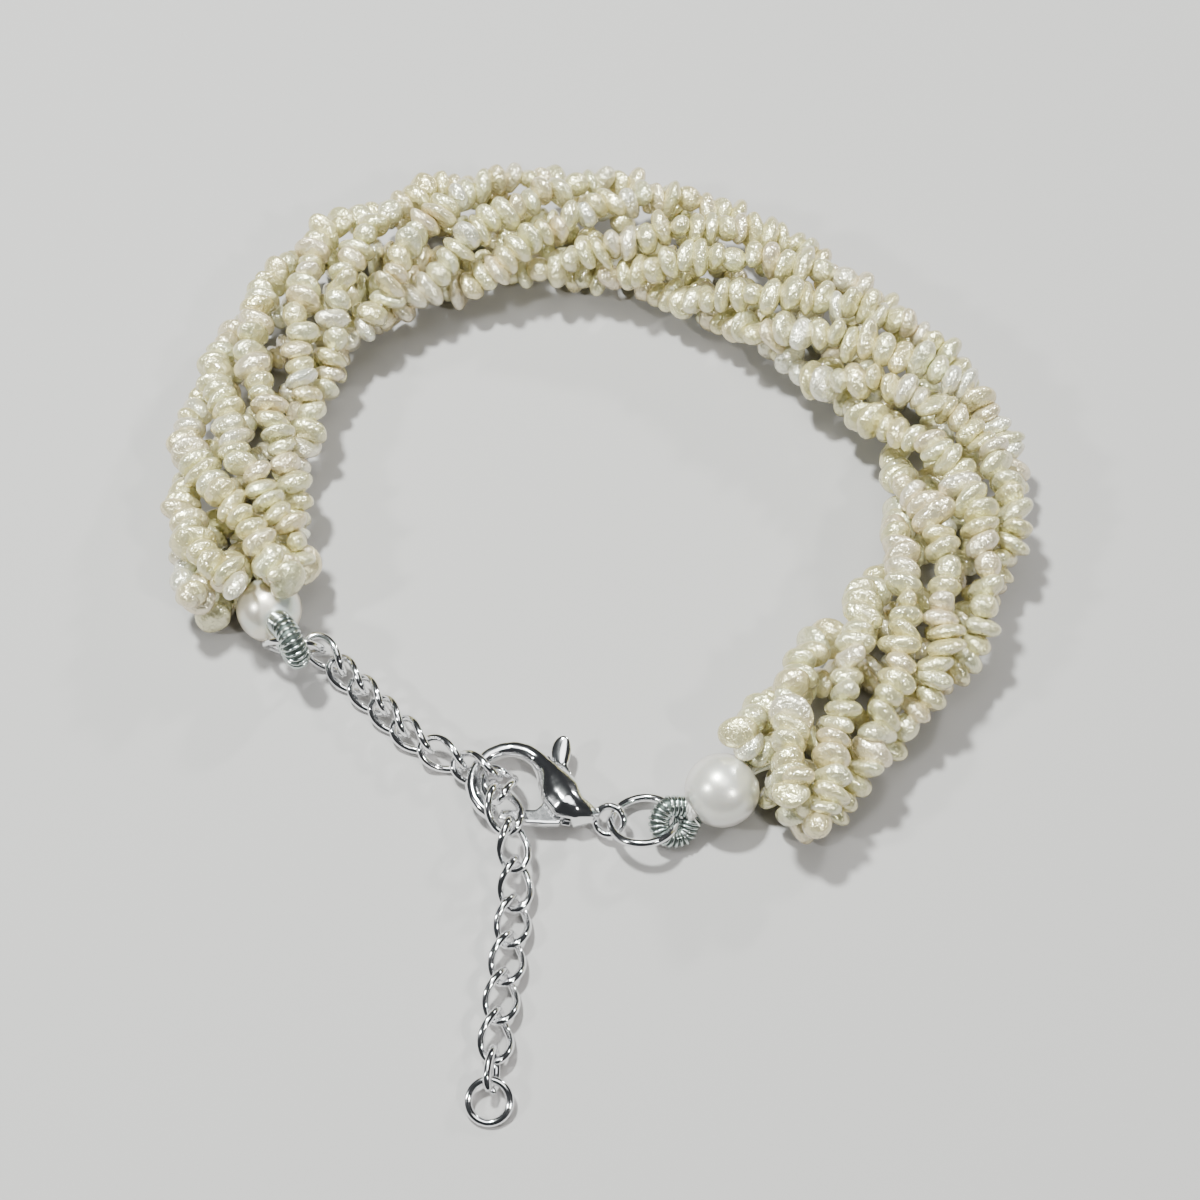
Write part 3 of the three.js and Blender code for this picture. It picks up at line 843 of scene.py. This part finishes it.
chain = {
    "length": 4.4,
    "width": 3.0,
    "wire": 0.6,
    "wireSides": 14,
    "twist": 45,
    "hooked": {"heading": -23.5, "rise": 7, "roll": 57.5, "shift": Vector((0.09, 0.03, 0.04))},
    "towardsRing": [
        ("link_near_hook", -29.5, -5.5, 53, 0.94, False),
        ("link_before_hook", -40.5, 6.5, 60.5, 0.94, False),
    ],
    "towardsTail": [
        ("link_climbing", -85, 31.5, 10, 1.1, False),
        ("link_crossing", -72.5, -2.5, -13, 1.0, False),
        ("tail_1", -82, -24, -34, 1.03, False),
        ("tail_2", -92, -18.5, -30, 0.88, False),
        ("tail_3", -96, 0, -23, 1.0, False),
        ("tail_4", -97.5, 0, -23.5, 0.91, True),
        ("tail_5", -97, 0, -28, 0.91, True),
        ("tail_6", -95, 0, -35.5, 0.86, True),
    ],
    "stretchOverlap": 1.2,
    "stretchRoll": (55, 59),
    "stretchRise": (-22, 1),
    "stretchBow": 0.12,
    "ringOverlapShare": 0.84,
    "open": {
        "length": 3.7, "width": 2.7, "heading": -95, "roll": -76, "twist": 7, "overlap": 0.92, "slit": 0.1,
    },
    "end": {"radius": 1.5, "heading": -98, "dip": 19, "overlap": 0.89},
}
linkReach = (chain["length"] - chain["wire"]) / 2
linkHalfWidth = (chain["width"] - chain["wire"]) / 2


def linkPoints(centre, forward, roll, reach, halfWidth, twist, steps=44, slit=0.0):
    level = upward.cross(forward).normalized()
    raised = forward.cross(level)
    points = []
    for i in range(steps + (1 if slit else 0)):
        angle = 2 * math.pi * (slit / 2 + (1 - slit) * i / steps)
        along = math.cos(angle)
        aside = halfWidth * math.sin(angle)
        turn = math.radians(roll + twist * along)
        points.append(
            centre
            + forward * (reach * along)
            + level * (aside * math.cos(turn))
            + raised * (aside * math.sin(turn))
        )
    return points


def makeLink(name, centre, forward, roll):
    shape = (forward, roll, linkReach, linkHalfWidth, chain["twist"])
    lowest = min(point.z for point in linkPoints(Vector(), *shape))
    seated = Vector((centre.x, centre.y, max(centre.z, chain["wire"] / 2 - lowest)))
    bm = bmesh.new()
    points = linkPoints(seated, *shape)
    sweepWire(bm, points, chain["wire"] / 2, chain["wireSides"], closed=True)
    addPiece(name + "_wire", bm, silverPlate, "bracelet", [name])
    return seated


hookedForward = headingVector(chain["hooked"]["heading"], chain["hooked"]["rise"])
hookedCentre = fromClasp(-clasp["hookRadius"], 0) + chain["hooked"]["shift"]
makeLink("link_hooked", hookedCentre, hookedForward, chain["hooked"]["roll"])


def layLinks(links, side):
    end = hookedCentre + hookedForward * (side * linkReach)
    for name, heading, rise, roll, overlap, lies in links:
        forward = headingVector(heading, rise)
        centre = end + forward * (side * (linkReach - overlap))
        if lies:
            centre.z = 0
        end = makeLink(name, centre, forward, roll) + forward * (side * linkReach)
    return end


stretchEnd = layLinks(chain["towardsRing"], -1)
tailEnd = layLinks(chain["towardsTail"], 1)

chainStart = leftRingCentre + leftRingAlong * rings["leftRadius"]
stretchAcross = upward.cross(stretchEnd - chainStart).normalized()
stretchMiddle = chainStart.lerp(stretchEnd, 0.5) + stretchAcross * (2 * chain["stretchBow"])
stretch = Route([
    chainStart * (1 - t) ** 2 + stretchMiddle * (2 * t * (1 - t)) + stretchEnd * t ** 2
    for t in [i / 60 for i in range(61)]
])
ringOverlap = chain["ringOverlapShare"] * linkReach
stretchSpan = stretch.length + ringOverlap
stretchCount = round(stretchSpan / (2 * linkReach - chain["stretchOverlap"]))
for i in range(stretchCount):
    distance = linkReach - ringOverlap + i * stretchSpan / stretchCount
    way = stretch.way(distance)
    place = stretch.at(distance)
    place.z = 0
    rise = chain["stretchRise"][min(i, 1)]
    roll = blendValue(*chain["stretchRoll"], i / max(stretchCount - 1, 1))
    makeLink("link_" + str(i + 1), place, headingVector(math.degrees(math.atan2(way.y, way.x)), rise), roll)

openLink = chain["open"]
openReach = (openLink["length"] - chain["wire"]) / 2
openHalfWidth = (openLink["width"] - chain["wire"]) / 2
openForward = headingVector(openLink["heading"])
openShape = (openForward, openLink["roll"], openReach, openHalfWidth, openLink["twist"])
openCentre = tailEnd + openForward * (openReach - openLink["overlap"])
openCentre.z = chain["wire"] / 2 - min(point.z for point in linkPoints(Vector(), *openShape))
bm = bmesh.new()
openPoints = linkPoints(openCentre, *openShape, slit=openLink["slit"])
sweepWire(bm, openPoints, chain["wire"] / 2, chain["wireSides"])
addPiece("open_link_wire", bm, silverPlate, "bracelet", ["open_link"])

endRing = chain["end"]
endRingForward = headingVector(endRing["heading"], -endRing["dip"])
endRingSide = headingVector(endRing["heading"] + 90)
endRingCentre = openCentre + openForward * openReach
endRingCentre += endRingForward * (endRing["radius"] - endRing["overlap"])
endRingCentre.z = chain["wire"] / 2 + endRing["radius"] * math.sin(math.radians(endRing["dip"]))
makeRing("end_ring", endRingCentre, endRingForward, endRingSide, endRing["radius"], chain["wire"])
print("chain and rings made")

# Coils of fine wire over the thread loops
coil = {
    "wire": 0.25,
    "wireSides": 6,
    "pitch": 0.33,
    "perTurn": 16,
    "wayReach": 0.15,
    "ease": 0.2,
    "pinch": 0.45,
    "legBend": 0.55,
    "arcSteps": 8,
    "leftWidth": 1.95,
    "coreInset": 0.1,
    "coreSides": 14,
    "coreSteps": 40,
}


def coilLine(ringPoint, toPearl, tilt, ringWire, standOff):
    # Round the ring's wire, with both legs drawn together towards the pearl
    level = upward.cross(toPearl).normalized()
    raised = toPearl.cross(level)
    aside = level * math.cos(math.radians(tilt)) + raised * math.sin(math.radians(tilt))
    radius = ends["coilDiameter"] / 2 + ringWire / 2 + coil["ease"]
    legs = standOff - ends["clearance"]
    leg = [(legs, radius * coil["pinch"]), (legs * coil["legBend"], radius * (1 + coil["pinch"]) / 2)]
    path = list(leg)
    for i in range(coil["arcSteps"] + 1):
        angle = math.pi * i / coil["arcSteps"]
        path.append((-radius * math.sin(angle), radius * math.cos(angle)))
    path += [(along, -across) for along, across in reversed(leg)]
    return curveThrough([ringPoint + toPearl * along + aside * across for along, across in path], perSpan=8)


def makeCoil(name, points, width):
    line = Route(points)
    turns = line.length / coil["pitch"]
    steps = int(turns * coil["perTurn"])
    radius = (width - coil["wire"]) / 2
    side = line.way(0).orthogonal().normalized()
    helix = []
    for i in range(steps + 1):
        distance = line.length * i / steps
        way = line.way(distance, coil["wayReach"])
        side = (side - way * side.dot(way)).normalized()
        angle = 2 * math.pi * i / coil["perTurn"]
        off = side * math.cos(angle) + way.cross(side) * math.sin(angle)
        helix.append(line.at(distance) + off * radius)
    bm = bmesh.new()
    sweepWire(bm, helix, coil["wire"] / 2, coil["wireSides"])
    addPiece(name + "_coil", bm, coilMetal, "bracelet", [name])
    # A dark tube inside the coil: painted shade, seen through the gaps between the turns
    core = bmesh.new()
    coreSteps = coil["coreSteps"]
    inside = [line.at(line.length * i / coreSteps) for i in range(coreSteps + 1)]
    sweepWire(core, inside, radius - coil["wire"] * coil["coreInset"], coil["coreSides"])
    addPiece(name + "_core", core, paintedShadeCoreMaterial, "bracelet")


leftLoop = coilLine(leftWrap, -leftOut, rings["leftCoilTilt"], rings["leftWire"], ends["leftStandOff"])
rightLoop = coilLine(rightWrap, rightOut, rings["rightCoilTilt"], rings["rightWire"], ends["rightStandOff"])
makeCoil("wrapped_loop_left", leftLoop, coil["leftWidth"])
makeCoil("wrapped_loop_right", rightLoop, ends["coilDiameter"])
print("coils made")

# Threads gathered through the end pearls, their knots and loose ends
threads = {
    "fibre": 0.17,
    "sides": 7,
    "bundle": 0.24,
    "inset": 0.3,
    "leave": 0.9,
    "flare": 1.5,
    "pull": 0.3,
    "knotOut": 0.42,
    "knotTurns": 4,
    "knotPitch": 0.12,
    "knotRadius": 0.62,
    "knotWire": 0.2,
    "knotSteps": 22,
    "knotLean": 0.5,
    "legWire": 0.24,
    "legBend": 0.6,
    "loose": 5,
    "looseWire": 0.06,
    "looseSides": 5,
    "looseReach": 1.5,
    "looseLift": 0.25,
    "looseStray": 0.3,
    "lowest": 0.2,
}


def makeThreads(name, pearlCentre, toRing, diameter, loop, targets, seed):
    rng = random.Random(seed)
    bm = bmesh.new()
    back = pearlCentre - toRing * (diameter / 2 - threads["inset"])
    front = pearlCentre + toRing * (diameter / 2 - threads["inset"])
    across = toRing.orthogonal().normalized()
    for i, target in enumerate(targets):
        angle = 2 * math.pi * i / len(targets)
        off = across * (threads["bundle"] * math.cos(angle))
        off += toRing.cross(across) * (threads["bundle"] * math.sin(angle))
        leave = back - toRing * threads["leave"] + off * threads["flare"]
        bend = leave.lerp(target, 0.5) - toRing * threads["pull"]
        path = curveThrough([front + off, back + off, leave, bend, target], perSpan=6)
        sweepWire(bm, path, threads["fibre"], threads["sides"])
    # The knot is a few turns of thread pulled tight against the pearl
    knotCentre = front + toRing * threads["knotOut"]
    lean = threads["knotLean"]
    for turn in range(threads["knotTurns"]):
        first = (across + toRing * rng.uniform(-lean, lean)).normalized()
        second = first.cross(toRing + across * rng.uniform(-lean, lean)).normalized()
        size = threads["knotRadius"] * rng.uniform(0.75, 1.0)
        middle = knotCentre + toRing * (threads["knotPitch"] * (turn - (threads["knotTurns"] - 1) / 2))
        knotLoop = ringPoints(middle, first, second, size, threads["knotSteps"])
        sweepWire(bm, knotLoop, threads["knotWire"], threads["sides"], closed=True)
    for leg in (loop[0], loop[-1]):
        path = curveThrough([knotCentre, knotCentre.lerp(leg, threads["legBend"]), leg], perSpan=6)
        sweepWire(bm, path, threads["legWire"], threads["sides"])
    reach = threads["looseReach"]
    stray = threads["looseStray"]
    for i in range(threads["loose"]):
        end = knotCentre + across * rng.uniform(-reach, reach)
        end += toRing.cross(across) * rng.uniform(-0.6, reach)
        end += toRing * rng.uniform(-0.2, 1.0)
        end.z = max(end.z, threads["lowest"])
        off = Vector((rng.uniform(-stray, stray), rng.uniform(-stray, stray), threads["looseLift"]))
        path = curveThrough([knotCentre, knotCentre.lerp(end, 0.5) + off, end], perSpan=6)
        sweepWire(bm, path, threads["looseWire"], threads["looseSides"])
    addPiece(name + "_bundle", bm, silkThread, "bracelet", [name])


makeThreads(
    "thread_left", ends["leftPearl"], leftOut, ends["leftDiameter"], leftLoop,
    [start for start, stop in strandEnds], 3,
)
makeThreads(
    "thread_right", rightPearl, -rightOut, ends["rightDiameter"], rightLoop,
    [stop for start, stop in strandEnds], 8,
)
print("threads made")

# Cast clasp, rounded from the part's own solids
# Smoothing takes a little off the thin hook. The swell gives that back and makes it a little thicker than its
# solid. Voxel, swell and mergeDistance are metres.
cast = {
    "voxel": 0.00008,
    "swell": {"clasp_body": 0.00014, "clasp_lever": 0.0},
    "smoothing": {"clasp_body": 50, "clasp_lever": 5},
    "mergeDistance": 1e-6,
    "finFrom": 2.9,
    "finFlatten": 0.7,
}


def makeCast(name, body):
    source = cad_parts[name]
    bm = bmesh.new()
    bm.from_mesh(source.data)
    bmesh.ops.remove_doubles(bm, verts=bm.verts, dist=cast["mergeDistance"])
    if name == "clasp_lever":
        # The fin of the thumb tab is flattened, to lie inside its leaf
        for vert in bm.verts:
            off = vert.co / millimetre - shiftToPart - clasp["hook"]
            if off.dot(headingVector(clasp["heading"] + 90)) > cast["finFrom"]:
                vert.co.z -= cast["finFlatten"] * off.z * millimetre
    mesh = bpy.data.meshes.new(name + "_cast")
    bm.to_mesh(mesh)
    bm.free()
    piece = bpy.data.objects.new(name + "_cast", mesh)
    bpy.context.scene.collection.objects.link(piece)
    remesh = piece.modifiers.new("remesh", "REMESH")
    remesh.mode = "VOXEL"
    remesh.voxel_size = cast["voxel"]
    remesh.use_smooth_shade = True
    swell = piece.modifiers.new("swell", "DISPLACE")
    swell.strength = cast["swell"][name]
    swell.mid_level = 0.0
    smooth = piece.modifiers.new("smooth", "SMOOTH")
    smooth.factor = 0.5
    smooth.iterations = cast["smoothing"][name]
    graph = bpy.context.evaluated_depsgraph_get()
    settled = bpy.data.meshes.new_from_object(piece.evaluated_get(graph))
    piece.modifiers.clear()
    piece.data = settled
    settled.name = name + "_cast"
    settled.materials.clear()
    settled.materials.append(silverPlate)
    for polygon in settled.polygons:
        polygon.use_smooth = True
    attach(piece, body)
    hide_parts(name)


makeCast("clasp_body", "bracelet")
makeCast("clasp_lever", "clasp_lever")


# The thumb tab's leaf, in the clasp's plane and above it
tab = {
    "sides": 12,
    "sections": [
        {"along": 3.10, "aside": 2.60, "height": 0.0, "halfWidth": 0.50, "halfThickness": 0.34},
        {"along": 2.85, "aside": 3.10, "height": 0.05, "halfWidth": 0.68, "halfThickness": 0.38},
        {"along": 2.60, "aside": 3.65, "height": 0.15, "halfWidth": 0.84, "halfThickness": 0.38},
        {"along": 2.48, "aside": 4.20, "height": 0.32, "halfWidth": 0.80, "halfThickness": 0.34},
        {"along": 2.52, "aside": 4.65, "height": 0.52, "halfWidth": 0.56, "halfThickness": 0.26},
        {"along": 2.62, "aside": 4.90, "height": 0.66, "halfWidth": 0.22, "halfThickness": 0.12},
    ],
}


def makeTab():
    bm = bmesh.new()
    forward = headingVector(clasp["heading"])
    line = [fromClasp(s["along"], s["aside"]) + upward * s["height"] for s in tab["sections"]]
    rows = []
    for i, section in enumerate(tab["sections"]):
        way = (line[min(i + 1, len(line) - 1)] - line[max(i - 1, 0)]).normalized()
        across = (forward - way * forward.dot(way)).normalized()
        wide = across * section["halfWidth"]
        thick = way.cross(across) * section["halfThickness"]
        place = basisFrom(line[i], wide, thick, way)
        row = bmesh.ops.create_circle(bm, cap_ends=False, segments=tab["sides"], radius=1, matrix=place)
        rows.append(row["verts"])
    skinSections(bm, rows)
    addPiece("lever_tab", bm, silverPlate, "clasp_lever", subdivide=2)


makeTab()
print("clasp made")

# Floor, light and camera
studio = {
    "floorSize": 3.0,
    "floorColour": (0.38, 0.368, 0.36, 1),
    "worldColour": (0.80, 0.84, 0.90, 1),
    "worldStrength": 0.045,
    "lights": [
        # name, place, size, power, colour
        ("window_light", (-0.11, 0.12, 0.40), 0.045, 4.4, (0.95, 1.0, 0.98)),
        ("soft_ceiling", (0.03, 0.02, 0.46), 0.26, 0.7, (0.98, 1.0, 0.99)),
        ("front_fill", (0.22, -0.24, 0.34), 0.04, 1.0, (1.0, 1.0, 0.97)),
        ("side_light", (-0.32, -0.10, 0.28), 0.04, 1.1, (0.97, 1.0, 1.0)),
        ("back_strip", (0.26, 0.28, 0.24), 0.035, 1.1, (0.99, 1.0, 1.0)),
    ],
}
camera = {"elevation": 62, "distance": 0.178, "fieldOfView": 30, "aim": shiftToPart * millimetre}

bm = bmesh.new()
bmesh.ops.create_grid(bm, x_segments=1, y_segments=1, size=studio["floorSize"] / 2)
floorMesh = bpy.data.meshes.new("floor")
bm.to_mesh(floorMesh)
bm.free()
floor = bpy.data.objects.new("floor", floorMesh)
bpy.context.scene.collection.objects.link(floor)
floorMaterial, floorStart = startMaterial("pale_floor")
finishMaterial(floorStart, {"Base Color": studio["floorColour"], "Roughness": 0.85})
floorMesh.materials.append(floorMaterial)

world = bpy.data.worlds.new("studio")
world.use_nodes = True
background = world.node_tree.nodes["Background"]
background.inputs["Color"].default_value = studio["worldColour"]
background.inputs["Strength"].default_value = studio["worldStrength"]
bpy.context.scene.world = world

for name, place, size, power, colour in studio["lights"]:
    light = bpy.data.lights.new(name, "AREA")
    light.shape = "DISK"
    light.size = size
    light.energy = power
    light.color = colour
    lamp = bpy.data.objects.new(name, light)
    lamp.location = place
    lamp.rotation_euler = (camera["aim"] - Vector(place)).to_track_quat("-Z", "Y").to_euler()
    bpy.context.scene.collection.objects.link(lamp)

lens = bpy.data.cameras.new("camera")
lens.sensor_width = 36.0
lens.lens = lens.sensor_width / 2 / math.tan(math.radians(camera["fieldOfView"] / 2))
lens.clip_start = 0.002
viewer = bpy.data.objects.new("camera", lens)
back = headingVector(-90, camera["elevation"])
viewer.location = camera["aim"] + back * camera["distance"]
viewer.rotation_euler = (-back).to_track_quat("-Z", "Y").to_euler()
bpy.context.scene.collection.objects.link(viewer)
bpy.context.scene.camera = viewer
print("studio made")
